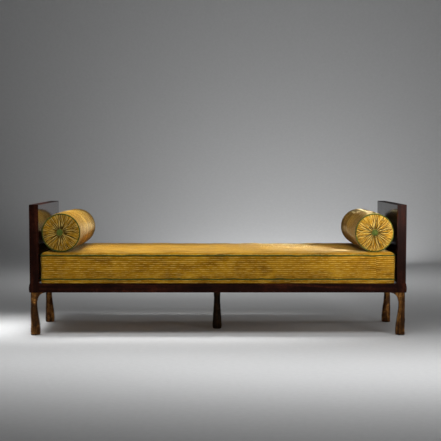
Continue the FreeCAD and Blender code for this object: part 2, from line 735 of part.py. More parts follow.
def build():
    studs, insert_holes = make_leg_hardware()
    bolts, bolt_holes = make_block_bolts()
    dowels = make_dowels()
    slat_screws, ledger_screws = make_screws(make_screw())
    holes = compound("all_fastener_holes", [studs, insert_holes, bolts, bolt_holes, dowels,
                                            slat_screws, ledger_screws])
    for side_name, side in SIDES.items():
        make_end(side_name, side, holes)
    for face_name, face in FACES.items():
        make_long_rail(face_name, face, holes)
        for side_name, side in SIDES.items():
            make_corner_leg(face_name, face, side_name, side, studs)
    make_ledgers(holes)
    make_bearer(holes)
    make_slats(holes)
    make_leg_blocks(holes)
    make_middle_leg(studs)
    make_mattress()
    for side_name, side in SIDES.items():
        make_bolster(side_name, side)
    check_and_write()


build()
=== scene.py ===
"""The looks of the daybed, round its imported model: bronze, lacquered wood, ribbed velvet."""

import math

import bmesh
import bpy
import numpy as np
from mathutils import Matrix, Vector


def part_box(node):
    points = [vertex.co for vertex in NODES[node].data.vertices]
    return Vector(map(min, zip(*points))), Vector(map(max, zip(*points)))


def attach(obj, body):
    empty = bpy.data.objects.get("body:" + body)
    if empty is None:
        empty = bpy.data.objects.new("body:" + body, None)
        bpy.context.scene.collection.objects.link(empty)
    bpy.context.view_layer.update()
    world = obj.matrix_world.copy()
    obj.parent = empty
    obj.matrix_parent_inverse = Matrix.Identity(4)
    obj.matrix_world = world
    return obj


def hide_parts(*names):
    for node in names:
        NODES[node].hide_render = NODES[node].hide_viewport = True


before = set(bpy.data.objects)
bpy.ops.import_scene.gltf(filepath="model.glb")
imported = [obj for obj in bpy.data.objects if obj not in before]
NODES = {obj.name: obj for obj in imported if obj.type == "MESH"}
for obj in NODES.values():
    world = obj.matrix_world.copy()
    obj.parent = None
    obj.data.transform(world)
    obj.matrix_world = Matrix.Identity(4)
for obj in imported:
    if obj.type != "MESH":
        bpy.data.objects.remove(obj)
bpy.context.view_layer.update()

# ---------------------------------------------------------------- sizes, in metres

RIB_PITCH = 0.0108            # from one rib of the velvet to the next
CLOTH_PRESSURE = 4.0          # inside a cover while it swells
CLOTH_FRAMES = 20
TUBE_SIDES = 12               # of a cord
HAIR = 1e-6                   # less than this is no distance

MATTRESS_STEP = 0.011         # grid of the mattress before it is subdivided
MATTRESS_SLACK = 0.0005       # how much smaller the mattress starts than its CAD solid
MATTRESS_SUNK = 0.012         # how much of the lower edge's rounding its weight presses flat
MATTRESS_SWELL = 0.0040       # the furthest that a point of it may swell
MATTRESS_EDGE = 0.03          # this near a side, a point belongs to that side
BOXING_SEAM = 0.108           # upright seam in the mattress's side, from one end
SEAM_BESIDE = 0.0035          # grid lines on both sides of that seam
SEAM_DEPTH = 0.0022
SEAM_WIDTH = 0.0030

BOLSTER_SEGMENTS = 168        # round a bolster before it is subdivided
BOLSTER_CLOTH_ROUND = 0.65    # cloth once round a bolster
BOLSTER_SLACK = 0.001         # how much smaller a bolster starts than its CAD solid
BOLSTER_SWELL = 0.0040        # the furthest that a point of it may swell
BOLSTER_SAG = 0.0012          # how far a bolster's flattened side stays above the mattress
BOLSTER_FLAT = 0.004          # height over which it flattens
BOLSTER_BULGE = 0.0068        # how much fatter a bolster's body is than its piped rims
CAP_ROWS, BODY_ROWS = 19, 97  # rings of points on an end and along the body
CAP_FOLDS = 33                # folds at a bolster's end that start at the button
RIM_FOLDS = 44                # shorter ones that start at the rim
FOLD_DEPTH = 0.0052
CREST_HEIGHT = 0.0016
BUTTON_PULL = 0.0070          # how far the button draws the cloth in
BUTTON_OFF = {"left": (-0.005, 0.002), "right": (0.0, 0.002)}   # tied in by hand, off the middle
GATHER_SEED = {"left": 44, "right": 45}
CREASE_SEED = {"left": 64, "right": 65}
CORD_POINTS = 220             # round a bolster's piping
BUTTON_RINGS, BUTTON_POINTS = 12, 72

BRONZE_GRID = 0.0026          # remesh size of the legs
BRONZE_SMOOTHING = 12         # times in and out
SMOOTH_IN, SMOOTH_OUT = 0.60, -0.61
BRONZE_UNEVEN = 0.0006        # how far the cast surface wanders

CAMERA_BACK = 6.40            # camera, in front of the frame's front face
CAMERA_HEIGHT = 0.9207
CAMERA_ASIDE = 0.015          # to the right of the bed's middle
CAMERA_DOWN = 2.494           # degrees below level
CAMERA_LENS = 94.12           # on a sensor 36 mm wide

# The velvet's colours, from where the pile is crushed to where it is palest. The darkest and the
# palest also serve as painted shade in rib valleys and folds, and as painted highlights on crests.
DEEP_OCHRE = (0.140, 0.055, 0.0010)
MIDDLE_OCHRE = (0.365, 0.170, 0.0028)
BRIGHT_OCHRE = (0.560, 0.295, 0.0140)
STRAW = (0.820, 0.600, 0.170)


# ---------------------------------------------------------------- mesh helpers

def new_piece(name, points, faces, uv=None):
    """A smooth-shaded mesh object; uv gives two numbers for each corner of each face."""
    data = bpy.data.meshes.new(name)
    data.from_pydata([tuple(point) for point in points], [], [tuple(face) for face in faces])
    if uv is not None:
        layer = data.uv_layers.new(name="cloth")
        layer.data.foreach_set("uv", np.asarray(uv, dtype=np.float32).ravel())
    data.shade_smooth()
    piece = bpy.data.objects.new(name, data)
    bpy.context.collection.objects.link(piece)
    return piece


def read_points(mesh):
    """The mesh's points as an array of three columns."""
    flat = np.empty(len(mesh.vertices) * 3)
    mesh.vertices.foreach_get("co", flat)
    return flat.reshape(-1, 3)


def write_points(piece, points):
    """Move the mesh's points to new places."""
    piece.data.vertices.foreach_set("co", np.ascontiguousarray(points).ravel())
    piece.data.update()


def evaluated_mesh(piece):
    """The piece's mesh with its modifiers applied."""
    bpy.context.view_layer.update()
    graph = bpy.context.evaluated_depsgraph_get()
    return bpy.data.meshes.new_from_object(piece.evaluated_get(graph))


def apply_modifiers(piece):
    """Keep the mesh that the modifiers make, and drop them."""
    made = evaluated_mesh(piece)
    piece.modifiers.clear()
    piece.data = made
    made.shade_smooth()


def subdivide(piece):
    """Split every face in four, rounding the surface."""
    modifier = piece.modifiers.new("subdivide", "SUBSURF")
    modifier.levels = 1
    apply_modifiers(piece)


def close_holes(piece):
    """Close the openings left in a mesh, each with one face."""
    work = bmesh.new()
    work.from_mesh(piece.data)
    bmesh.ops.holes_fill(work, edges=[edge for edge in work.edges if edge.is_boundary], sides=0)
    bmesh.ops.recalc_face_normals(work, faces=work.faces)
    work.to_mesh(piece.data)
    work.free()
    piece.data.shade_smooth()


def smooth_step(low, high, value):
    """0 at low, 1 at high, and a smooth rise between."""
    part = np.clip((value - low) / (high - low), 0.0, 1.0)
    return part * part * (3.0 - 2.0 * part)


def ripple(points, size, seed, waves=14):
    """Smooth repeatable unevenness between about -1 and 1, with features of the given size."""
    chance = np.random.default_rng(seed)
    total = np.zeros(len(points))
    for _ in range(waves):
        direction = chance.normal(size=3)
        direction *= 2.0 * math.pi / (size * np.linalg.norm(direction) * chance.uniform(0.7, 1.6))
        total += np.sin(points @ direction + chance.uniform(0.0, 2.0 * math.pi))
    return total / math.sqrt(waves)


def swell(piece, pinned, limit):
    """Blow a cover up as cloth, held at the pinned points, and keep the result.

    No point moves further than the limit.
    """
    before = read_points(piece.data)
    group = piece.vertex_groups.new(name="held")
    group.add([int(index) for index in pinned], 1.0, "REPLACE")
    cloth = piece.modifiers.new("cloth", "CLOTH")
    settings = cloth.settings
    settings.quality = 4
    settings.mass = 0.3
    settings.tension_stiffness = 15.0
    settings.compression_stiffness = 15.0
    settings.bending_stiffness = 0.5
    settings.vertex_group_mass = "held"
    settings.use_pressure = True
    settings.uniform_pressure_force = CLOTH_PRESSURE
    settings.effector_weights.gravity = 0.0
    cloth.collision_settings.use_collision = False
    scene = bpy.context.scene
    for step in range(1, CLOTH_FRAMES + 1):
        scene.frame_set(step)
    after = read_points(evaluated_mesh(piece))
    piece.modifiers.clear()
    piece.vertex_groups.clear()
    scene.frame_set(1)
    move = after - before
    length = np.linalg.norm(move, axis=1, keepdims=True)
    write_points(piece, before + move * np.minimum(1.0, limit / np.maximum(length, 1e-9)))


def tube(name, path, axis, radius):
    """A closed ring of cord along a closed path that is square to the axis.

    Radius holds one value for each point of the path.
    """
    ahead = np.roll(path, -1, axis=0) - np.roll(path, 1, axis=0)
    side = np.cross(ahead, axis)
    side /= np.linalg.norm(side, axis=1, keepdims=True)
    turns = np.arange(TUBE_SIDES) * (2.0 * math.pi / TUBE_SIDES)
    points = (path[:, None, :] + radius[:, None, None] * (
        np.cos(turns)[None, :, None] * side[:, None, :] + np.sin(turns)[None, :, None] * axis))
    faces = []
    for ring in range(len(path)):
        here, there = ring * TUBE_SIDES, (ring + 1) % len(path) * TUBE_SIDES
        for turn in range(TUBE_SIDES):
            beside = (turn + 1) % TUBE_SIDES
            faces.append((here + turn, here + beside, there + beside, there + turn))
    return new_piece(name, points.reshape(-1, 3), faces)


def set_material(piece, *materials):
    """Give the piece these materials and no others."""
    piece.data.materials.clear()
    for material in materials:
        piece.data.materials.append(material)


# ---------------------------------------------------------------- shader helpers

class Look:
    """A material being built: adds nodes and joins them."""

    def __init__(self, name, **sockets):
        self.material = bpy.data.materials.new(name)
        self.material.use_nodes = True
        self.tree = self.material.node_tree
        self.shader = self.tree.nodes["Principled BSDF"]
        self.set(self.shader, {key.replace("_", " "): value for key, value in sockets.items()})

    def set(self, node, inputs):
        """Join or set the node's sockets, each named by its key."""
        for key, value in inputs.items():
            if isinstance(value, bpy.types.NodeSocket):
                self.tree.links.new(value, node.inputs[key])
            else:
                node.inputs[key].default_value = value

    def add(self, kind, inputs=None, **settings):
        """A new node with its settings and inputs."""
        node = self.tree.nodes.new(kind)
        for key, value in settings.items():
            setattr(node, key, value)
        self.set(node, inputs or {})
        return node

    def place(self, scale=(1.0, 1.0, 1.0)):
        """Object coordinates, in metres, stretched."""
        place = self.add("ShaderNodeTexCoord").outputs["Object"]
        return self.add("ShaderNodeMapping", {"Vector": place, "Scale": scale}).outputs["Vector"]

    def cloth_place(self, scale=(1.0, 1.0, 1.0)):
        """The cloth's own coordinates, along and across its ribs, in metres."""
        place = self.add("ShaderNodeUVMap", uv_map="cloth").outputs["UV"]
        return self.add("ShaderNodeMapping", {"Vector": place, "Scale": scale}).outputs["Vector"]

    def noise(self, place, scale, detail=4.0, roughness=0.55, distortion=0.0):
        """Soft clouds between 0 and 1."""
        return self.add("ShaderNodeTexNoise", {
            "Vector": place, "Scale": scale, "Detail": detail,
            "Roughness": roughness, "Distortion": distortion}).outputs["Fac"]

    def math(self, kind, first, second=0.0):
        """The result of one sum."""
        return self.add("ShaderNodeMath", {0: first, 1: second}, operation=kind).outputs[0]

    def shares(self, first, share, second):
        """So much of the first factor, and the rest of the second."""
        total = self.math("MULTIPLY_ADD", first, share)
        self.set(total.node, {2: self.math("MULTIPLY", second, 1.0 - share)})
        return total

    def ramp(self, factor, *stops):
        """Colours between stops, each a position and a colour."""
        node = self.add("ShaderNodeValToRGB", {"Fac": factor})
        elements = node.color_ramp.elements
        while len(elements) < len(stops):
            elements.new(0.5)
        for element, (position, colour) in zip(elements, stops):
            element.position = position
            element.color = (*colour, 1.0)
        return node.outputs["Color"]

    def level(self, factor, low, high, out_low=0.0, out_high=1.0):
        """A factor stretched from one range to another, and kept inside it."""
        return self.add("ShaderNodeMapRange", {
            "Value": factor, "From Min": low, "From Max": high,
            "To Min": out_low, "To Max": out_high}).outputs["Result"]

    def blend(self, factor, first, second):
        """The first colour where the factor is 0, and the second where it is 1."""
        node = self.add("ShaderNodeMix", data_type="RGBA")
        for number, value in ((0, factor), (6, first), (7, second)):
            socket = node.inputs[number]
            if isinstance(value, bpy.types.NodeSocket):
                self.tree.links.new(value, socket)
            elif isinstance(value, tuple):
                socket.default_value = (*value, 1.0)
            else:
                socket.default_value = value
        return node.outputs[2]

    def bump(self, height, distance, strength, under=None):
        """A normal that follows the height, over another normal if there is one."""
        inputs = {"Height": height, "Distance": distance, "Strength": strength}
        if under is not None:
            inputs["Normal"] = under
        return self.add("ShaderNodeBump", inputs).outputs["Normal"]

    def finish(self, **sockets):
        """Fill the shader's last sockets and give the material."""
        self.set(self.shader, {key.replace("_", " "): value for key, value in sockets.items()})
        return self.material


def lacquered_wood(name, stretch, uneven):
    """Dark red-brown wood, mottled, its grain drawn out along one axis.

    The faces that look along the bed are polished, and the others dulled by wax and handling.
    """
    look = Look(name, Specular_IOR_Level=0.055)
    place = look.place()
    clouds = look.noise(place, 9.0, 5.0, 0.6, 0.6)
    grain = look.noise(look.place(stretch), 1.0, 6.0, 0.62, 0.35)
    mottle = look.noise(place, 70.0, 3.0, 0.5)
    both = look.shares(grain, 0.55, clouds)
    colour = look.ramp(both, (0.36, (0.0050, 0.0011, 0.0006)), (0.50, (0.018, 0.0040, 0.0018)),
                       (0.61, (0.052, 0.0120, 0.0050)), (0.72, (0.140, 0.036, 0.014)))
    dark_spots = look.level(mottle, 0.42, 0.62, 0.0, 0.45)
    colour = look.blend(dark_spots, colour, (0.004, 0.0010, 0.0006))
    facing = look.add("ShaderNodeSeparateXYZ", {
        "Vector": look.add("ShaderNodeTexCoord").outputs["Normal"]}).outputs["X"]
    polish = look.level(look.math("ABSOLUTE", facing), 0.80, 0.97)
    wear = look.level(clouds, 0.35, 0.65, 0.0, 0.06)
    dull = look.level(polish, 0.0, 1.0, 0.46, 0.085)
    normal = look.bump(grain, 0.0003, uneven)
    normal = look.bump(mottle, 0.00015, uneven, normal)
    return look.finish(Base_Color=colour, Roughness=look.math("ADD", dull, wear), Normal=normal)


def plain_wood(name, stretch):
    """Pale beech with fine pores along the grain."""
    look = Look(name, Specular_IOR_Level=0.35)
    grain = look.noise(look.place(stretch), 1.0, 7.0, 0.6, 0.5)
    pores = look.noise(look.place(tuple(5.0 * part for part in stretch)), 1.0, 2.0)
    colour = look.ramp(grain, (0.32, (0.30, 0.185, 0.098)), (0.52, (0.43, 0.28, 0.155)),
                       (0.70, (0.55, 0.385, 0.235)))
    colour = look.blend(look.level(pores, 0.60, 0.72, 0.0, 0.55), colour, (0.20, 0.115, 0.06))
    return look.finish(Base_Color=colour, Roughness=0.55, Normal=look.bump(grain, 0.0004, 0.4))


def bronze(name, unshaded):
    """Cast bronze, brown with age and worn golden in upright streaks; all but the given share is
    painted near black as shade.
    """
    look = Look(name, Specular_IOR_Level=0.20)
    place = look.place()
    streaks = look.noise(look.place((34.0, 34.0, 5.0)), 1.0, 5.0, 0.6, 0.8)
    patches = look.noise(place, 26.0, 4.0, 0.6, 0.4)
    pits = look.noise(place, 260.0, 3.0, 0.6)
    worn = look.shares(streaks, 0.6, patches)
    colour = look.ramp(worn, (0.36, (0.018, 0.007, 0.002)), (0.48, (0.080, 0.031, 0.008)),
                       (0.57, (0.300, 0.128, 0.032)), (0.66, (0.640, 0.330, 0.095)))
    colour = look.blend(look.level(pits, 0.55, 0.70, 0.0, 0.6), colour, (0.028, 0.013, 0.006))
    # Painted shade: all but the unshaded share is mixed towards near black.
    colour = look.blend(1.0 - unshaded, colour, (0.0040, 0.0027, 0.0018))
    normal = look.bump(patches, 0.0016, 0.5)
    normal = look.bump(pits, 0.0004, 0.4, normal)
    return look.finish(Base_Color=colour, Metallic=look.level(worn, 0.35, 0.6, 0.55, 0.95),
                       Roughness=look.level(patches, 0.35, 0.65, 0.46, 0.26), Normal=normal)


def crushed_pile(look, along):
    """The velvet's ground colour, and how its pile lies: in soft patches, one way or the other."""
    patches = look.noise(look.cloth_place((1.0, along, 1.0)), 5.5, 4.0, 0.6, 0.9)
    strokes = look.noise(look.cloth_place((9.0, 60.0, 1.0)), 1.0, 4.0, 0.65, 0.3)
    pile = look.shares(patches, 0.62, strokes)
    return look.ramp(pile, (0.34, DEEP_OCHRE), (0.50, MIDDLE_OCHRE), (0.66, BRIGHT_OCHRE)), pile


def ribbed_velvet(name, rings=0.0):
    """Golden velvet with narrow ribs, with painted highlights in broken dashes along their crests and
    painted shade in their valleys.

    Rings says how strongly the pile is crushed in rings round a bolster.
    """
    look = Look(name, Sheen_Weight=0.52, Sheen_Roughness=0.28, Sheen_Tint=(1.0, 0.84, 0.46, 1.0),
                Specular_IOR_Level=0.08, Roughness=0.88)
    ground, pile = crushed_pile(look, 2.2)
    across = look.add("ShaderNodeSeparateXYZ", {
        "Vector": look.cloth_place((1.0, 1.0 / RIB_PITCH, 1.0))}).outputs["Y"]
    wander = look.noise(look.cloth_place((14.0, 2.0, 1.0)), 1.0, 2.0)
    across = look.math("ADD", across, look.math("MULTIPLY", wander, 0.55))
    wave = look.math("PINGPONG", across, 0.5)
    crest = look.level(wave, 0.0, 0.5)
    # Painted highlights: straw dashes along the rib crests. Painted shade: deep ochre in the rib
    # valleys.
    painted_highlight_line = look.level(wave, 0.33, 0.47)
    dashes = look.level(look.noise(look.cloth_place((34.0, 110.0, 1.0)), 1.0, 3.0, 0.7), 0.42, 0.62)
    light = look.math("MULTIPLY", painted_highlight_line, look.level(dashes, 0.0, 1.0, 0.08, 0.80))
    dark = look.math("MULTIPLY", look.level(wave, 0.20, 0.0), 0.45)
    colour = look.blend(dark, ground, DEEP_OCHRE)
    colour = look.blend(light, colour, STRAW)
    band = look.noise(look.place((3.0, 24.0, 3.0)), 1.0, 4.0, 0.65, 0.3)
    colour = look.blend(look.level(band, 0.49, 0.60, 0.0, rings), colour, DEEP_OCHRE)
    colour = look.blend(look.level(band, 0.45, 0.37, 0.0, rings), colour, STRAW)
    fuzz = look.noise(look.cloth_place((420.0, 420.0, 1.0)), 1.0, 3.0, 0.7)
    normal = look.bump(crest, 0.0016, 0.75)
    normal = look.bump(pile, 0.0020, 0.35, normal)
    normal = look.bump(fuzz, 0.0005, 0.40, normal)
    return look.finish(Base_Color=colour, Normal=normal)


def gathered_velvet(name):
    """The same velvet drawn in to a button, with painted shade in the folds and painted highlights
    along their crests.
    """
    look = Look(name, Sheen_Weight=0.40, Sheen_Roughness=0.30, Sheen_Tint=(1.0, 0.84, 0.52, 1.0),
                Specular_IOR_Level=0.08, Roughness=0.88)
    fold = look.add("ShaderNodeAttribute", attribute_name="fold").outputs["Fac"]
    crest = look.add("ShaderNodeAttribute", attribute_name="crest").outputs["Fac"]
    ground, _ = crushed_pile(look, 1.0)
    streaks = look.noise(look.cloth_place((240.0, 14.0, 1.0)), 1.0, 3.0, 0.7)
    # Painted highlights: pale radial streaks and the folds' crests turn straw.
    painted_highlight_streaks = look.level(streaks, 0.52, 0.64, 0.0, 0.8)
    light = look.math("MAXIMUM", look.level(crest, 0.15, 0.8), painted_highlight_streaks)
    # Painted shade: fine dark radial crease lines.
    shade = look.noise(look.cloth_place((150.0, 11.0, 1.0)), 1.0, 3.0, 0.6)
    ground = look.blend(look.level(shade, 0.50, 0.60, 0.0, 0.90), ground, (0.060, 0.024, 0.0010))
    colour = look.blend(look.math("MULTIPLY", light, 0.90), ground, STRAW)
    # Painted shade in the folds.
    colour = look.blend(look.level(fold, 0.14, 0.62, 0.0, 0.95), colour, (0.024, 0.011, 0.0012))
    fuzz = look.noise(look.place(), 420.0, 3.0, 0.7)
    normal = look.bump(streaks, 0.0010, 0.5)
    normal = look.bump(fuzz, 0.0005, 0.4, normal)
    return look.finish(Base_Color=colour, Normal=normal)


def green_cloth(name, dark, light):
    """Woven green cotton over cord or button."""
    look = Look(name, Sheen_Weight=0.20, Sheen_Roughness=0.5, Sheen_Tint=(0.80, 0.95, 0.40, 1.0),
                Specular_IOR_Level=0.1, Roughness=0.85)
    place = look.place()
    weave = look.noise(place, 900.0, 2.0, 0.6)
    wear = look.noise(place, 60.0, 4.0, 0.6)
    colour = look.ramp(look.shares(weave, 0.4, wear), (0.30, dark), (0.62, light))
    return look.finish(Base_Color=colour, Normal=look.bump(weave, 0.0006, 0.6))


def plain_metal(name, colour, roughness):
    """Metal that is duller and darker in fine patches."""
    look = Look(name, Metallic=1.0)
    wear = look.noise(look.place(), 300.0, 3.0)
    dark = tuple(0.6 * part for part in colour)
    worn = look.blend(look.level(wear, 0.45, 0.7, 0.0, 0.5), colour, dark)
    dull = look.level(wear, 0.3, 0.7, roughness, roughness + 0.2)
    return look.finish(Base_Color=worn, Roughness=dull)


def felt(name):
    """Black felt with a little fluff."""
    look = Look(name, Roughness=0.95, Sheen_Weight=0.4)
    fluff = look.noise(look.place(), 800.0, 3.0)
    colour = look.ramp(fluff, (0.35, (0.010, 0.009, 0.008)), (0.65, (0.05, 0.045, 0.04)))
    return look.finish(Base_Color=colour, Normal=look.bump(fluff, 0.0008, 0.7))


# ---------------------------------------------------------------- the frame's own pieces

def dress_frame():
    """Give every CAD node that stays its material, the grain along the piece."""
    upright = lacquered_wood("lacquer_upright", (42.0, 42.0, 3.2), 0.08)
    along_x = lacquered_wood("lacquer_along_x", (3.0, 42.0, 42.0), 0.25)
    along_y = lacquered_wood("lacquer_along_y", (42.0, 3.0, 42.0), 0.05)
    beech_x = plain_wood("beech_along_x", (4.0, 60.0, 60.0))
    beech_y = plain_wood("beech_along_y", (60.0, 4.0, 60.0))
    steel = plain_metal("zinc_steel", (0.52, 0.53, 0.55), 0.32)
    brass = plain_metal("insert_brass", (0.62, 0.46, 0.20), 0.30)
    finishes = {
        "post_": upright, "front_rail": along_x, "rear_rail": along_x, "end_": along_y,
        "front_ledger": beech_x, "rear_ledger": beech_x, "middle_bearer": beech_y, "slat_": beech_y,
        "leg_block": beech_x, "frame_dowels": beech_x, "leg_studs": steel, "block_bolts": steel,
        "block_bolt_inserts": brass, "slat_screws": steel, "ledger_screws": steel,
        "leg_inserts": brass, "leg_glides": felt("felt_glide"),
    }
    for node, thing in NODES.items():
        fits = [start for start in finishes if node.startswith(start)]
        if fits:
            for holder in thing.material_slots:
                holder.material = finishes[max(fits, key=len)]


def smooth_out(mesh, points, loose):
    """Even the points out, each as far as it is loose, without making the piece thinner."""
    edges = np.empty(len(mesh.edges) * 2, dtype=np.int64)
    mesh.edges.foreach_get("vertices", edges)
    first, second = edges.reshape(-1, 2).T
    count = np.bincount(edges, minlength=len(points))[:, None]
    for _ in range(BRONZE_SMOOTHING):
        for share in (SMOOTH_IN, SMOOTH_OUT):
            total = np.zeros_like(points)
            np.add.at(total, first, points[second])
            np.add.at(total, second, points[first])
            points += share * loose * (total / count - points)


def cast_leg(node, material):
    """A leg as it is cast and smoothed down by hand: the CAD shape, flowing together and uneven."""
    piece = bpy.data.objects.new("cast_" + node, NODES[node].data.copy())
    bpy.context.collection.objects.link(piece)
    remesh = piece.modifiers.new("remesh", "REMESH")
    remesh.mode = "VOXEL"
    remesh.voxel_size = BRONZE_GRID
    apply_modifiers(piece)
    points = read_points(piece.data)

    # The seat under the frame stays as it is, and the foot stays level.
    low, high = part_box(node)
    loose = smooth_step(high.z - 0.001, high.z - 0.010, points[:, 2])[:, None] * np.ones((1, 3))
    loose[:, 2] *= smooth_step(low.z + 0.001, low.z + 0.008, points[:, 2])
    smooth_out(piece.data, points, loose)
    outward = points - np.array(((low.x + high.x) / 2, (low.y + high.y) / 2, 0.0))
    outward[:, 2] = 0.0
    outward /= np.linalg.norm(outward, axis=1, keepdims=True)
    uneven = ripple(points, 0.045, 3) + 0.5 * ripple(points, 0.016, 4)
    points += outward * (loose[:, :1] * BRONZE_UNEVEN * uneven[:, None])
    write_points(piece, points)
    set_material(piece, material)
    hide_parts(node)
    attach(piece, "frame")


def make_legs():
    """The four outer legs, worn golden, and the one in the middle painted near black as shade."""
    # The middle leg's bronze is painted almost black as shade.
    unshaded, dark = bronze("aged_bronze", 1.0), bronze("painted_shade_bronze", 0.12)
    for node in NODES:
        if node.startswith("leg_front") or node.startswith("leg_rear"):
            cast_leg(node, unshaded)
    cast_leg("leg_middle", dark)


# ---------------------------------------------------------------- mattress

def box_lines(low, high, step, extra=()):
    """Grid lines between two limits, about a step apart, with some more of its own."""
    lines = np.linspace(low, high, max(3, int(round((high - low) / step)) + 1))
    if len(extra):
        near = np.min(np.abs(lines[:, None] - np.array(extra)[None, :]), axis=1)
        lines = lines[(near > 0.45 * step) | (lines == low) | (lines == high)]
        lines = np.sort(np.concatenate([lines, extra]))
    return lines


def grid_box(lines):
    """The skin of a box on a grid of lines: its points, its faces, and which way each faces."""
    index, points, faces, sides = {}, [], [], []

    def point(key):
        if key not in index:
            index[key] = len(points)
            points.append([lines[axis][key[axis]] for axis in range(3)])
        return index[key]

    for axis in range(3):
        one, two = (axis + 1) % 3, (axis + 2) % 3
        for end in (0, len(lines[axis]) - 1):
            for i in range(len(lines[one]) - 1):
                for j in range(len(lines[two]) - 1):
                    corners = []
                    for di, dj in ((0, 0), (1, 0), (1, 1), (0, 1)):
                        key = [0, 0, 0]
                        key[axis], key[one], key[two] = end, i + di, j + dj
                        corners.append(point(tuple(key)))
                    faces.append(corners if end else corners[::-1])
                    sides.append((axis, 1 if end else -1))
    return np.array(points), faces, sides


def round_off(points, low, high, radius):
    """Turn the skin of a box into that of a box with every edge rounded."""
    inside = np.clip(points, low + radius, high - radius)
    out = points - inside
    length = np.linalg.norm(out, axis=1, keepdims=True)
    return inside + out * (radius / np.maximum(length, 1e-9))


def mattress_cloth_map(flat, faces, sides, seams, seam_x):
    """Cloth coordinates: ribs run along the bed, on top, below and round the boxing.

    Past an upright seam of the boxing the ribs don't meet.
    """
    lower, upper = seams
    uv = []
    for face, (axis, sign) in zip(faces, sides):
        corners = flat[face]
        height = corners[:, 2].mean()
        boxing = lower < height < upper
        step = 0.42 * RIB_PITCH if boxing and -sign * corners[:, 0].mean() > seam_x else 0.0
        for x, y, z in corners:
            if axis == 2:
                uv.append((x, y))
            elif axis == 1:
                uv.append((x, z + step))
            elif boxing:
                uv.append((y + 3.0, z))
            else:
                uv.append((z + x, y))
    return uv


def mattress_skin(start_low, start_high, seams, seam_x, rounding):
    """The mattress before it swells: its points in a box and rounded, its faces and cloth map."""
    beside_seam = [side * seam_x + step for side in (-1.0, 1.0)
                   for step in (-SEAM_BESIDE, 0.0, SEAM_BESIDE)]
    lines = [box_lines(start_low[0], start_high[0], MATTRESS_STEP, beside_seam),
             box_lines(start_low[1], start_high[1], MATTRESS_STEP),
             box_lines(start_low[2], start_high[2], 0.6 * MATTRESS_STEP, seams)]
    flat, faces, sides = grid_box(lines)
    uv = mattress_cloth_map(flat, faces, sides, seams, seam_x)
    sunk = np.array([0.0, 0.0, MATTRESS_SUNK])
    rounded = round_off(flat, start_low - sunk, start_high, rounding)
    rounded[:, 2] = np.maximum(rounded[:, 2], start_low[2])
    return flat, rounded, faces, uv


def shape_mattress(points, low, high, seams, seam_x):
    """Puckers along the seams, the upright seams, and the softness of the top."""
    to_seam = np.min(np.abs(points[:, 2:3] - np.array(seams)), axis=1)
    outward = np.zeros_like(points)
    for axis in (0, 1):
        at_side = np.abs(points[:, axis]) > high[axis] - MATTRESS_EDGE
        outward[:, axis] = np.where(at_side, np.sign(points[:, axis]), 0.0)
    outward /= np.maximum(np.linalg.norm(outward, axis=1, keepdims=True), 1e-9)
    near = np.exp(-(to_seam / 0.010) ** 2)
    pucker = ripple(points * np.array([1.0, 1.0, 0.25]), 0.020, 21)
    points += outward * (near * (0.0009 * pucker - 0.0010))[:, None]
    points += outward * (0.0013 * ripple(points, 0.16, 22) * (1.0 - near))[:, None]

    # The two upright seams of the boxing, one in front and one behind.
    boxing = (points[:, 2] > seams[0]) & (points[:, 2] < seams[1])
    for sign in (-1.0, 1.0):
        groove = np.exp(-((points[:, 0] + sign * seam_x) / SEAM_WIDTH) ** 2)
        groove *= (sign * points[:, 1] > high[1] - MATTRESS_EDGE) & boxing
        points[:, 1] -= sign * SEAM_DEPTH * groove

    # The top has shallow hollows, and the underside lies flat on the slats.
    on_top = smooth_step(seams[1], high[2] - 0.002, points[:, 2])
    hollows = 0.0015 * ripple(points, 0.22, 23) + 0.0006 * ripple(points, 0.06, 24)
    points[:, 2] += on_top * hollows
    points[:, 2] = np.where(points[:, 2] < low[2] + 0.0035, low[2] + 0.0001, points[:, 2])
    points[:, 2] = np.minimum(points[:, 2], high[2] + 0.004)
    limit = high[0] + 0.0035
    points[:, 0] = np.clip(points[:, 0], -limit, limit)


def make_mattress(cloth, trim):
    """The boxed mattress in ribbed velvet, with a cord in its upper and its lower seam."""
    low, high = (np.array(corner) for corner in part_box("mattress_cover"))
    pipings = {"lower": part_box("mattress_piping_lower"), "upper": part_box("mattress_piping_upper")}
    cord = (pipings["upper"][1].z - pipings["upper"][0].z) / 2
    seams = [(box[0].z + box[1].z) / 2 for box in pipings.values()]
    seam_x = high[0] - BOXING_SEAM
    start_low = low + MATTRESS_SLACK
    start_high = high - MATTRESS_SLACK * np.array([1.0, 1.0, 0.4])
    rounding = high[2] - seams[1]
    flat, rounded, faces, uv = mattress_skin(start_low, start_high, seams, seam_x, rounding)
    piece = new_piece("mattress_velvet", rounded, faces, uv)
    rim = np.any(np.abs(flat[:, :2]) > start_high[:2] - HAIR, axis=1)
    on_seam = np.min(np.abs(flat[:, 2:3] - np.array(seams)), axis=1) < HAIR
    held = (rim & on_seam) | (flat[:, 2] < start_low[2] + HAIR)
    swell(piece, np.flatnonzero(held), MATTRESS_SWELL)
    subdivide(piece)
    points = read_points(piece.data)
    shape_mattress(points, low, high, seams, seam_x)
    write_points(piece, points)
    set_material(piece, cloth)
    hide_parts("mattress_cover", "mattress_core")
    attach(piece, "mattress")
    for name, (box_low, box_high) in pipings.items():
        path = rounded_loop(box_high.x - cord, box_high.y - cord, rounding, 0.006)
        path = np.column_stack([path, np.full(len(path), (box_low.z + box_high.z) / 2)])
        path[:, 2] += 0.0011 * ripple(path, 0.11, 31) + 0.0005 * ripple(path, 0.03, 32)
        thick = cord * (0.94 + 0.06 * ripple(path, 0.014, 33))
        ring = tube("mattress_cord_" + name, path, np.array([0.0, 0.0, 1.0]), thick)
        set_material(ring, trim)
        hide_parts("mattress_piping_" + name)
        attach(ring, "mattress")


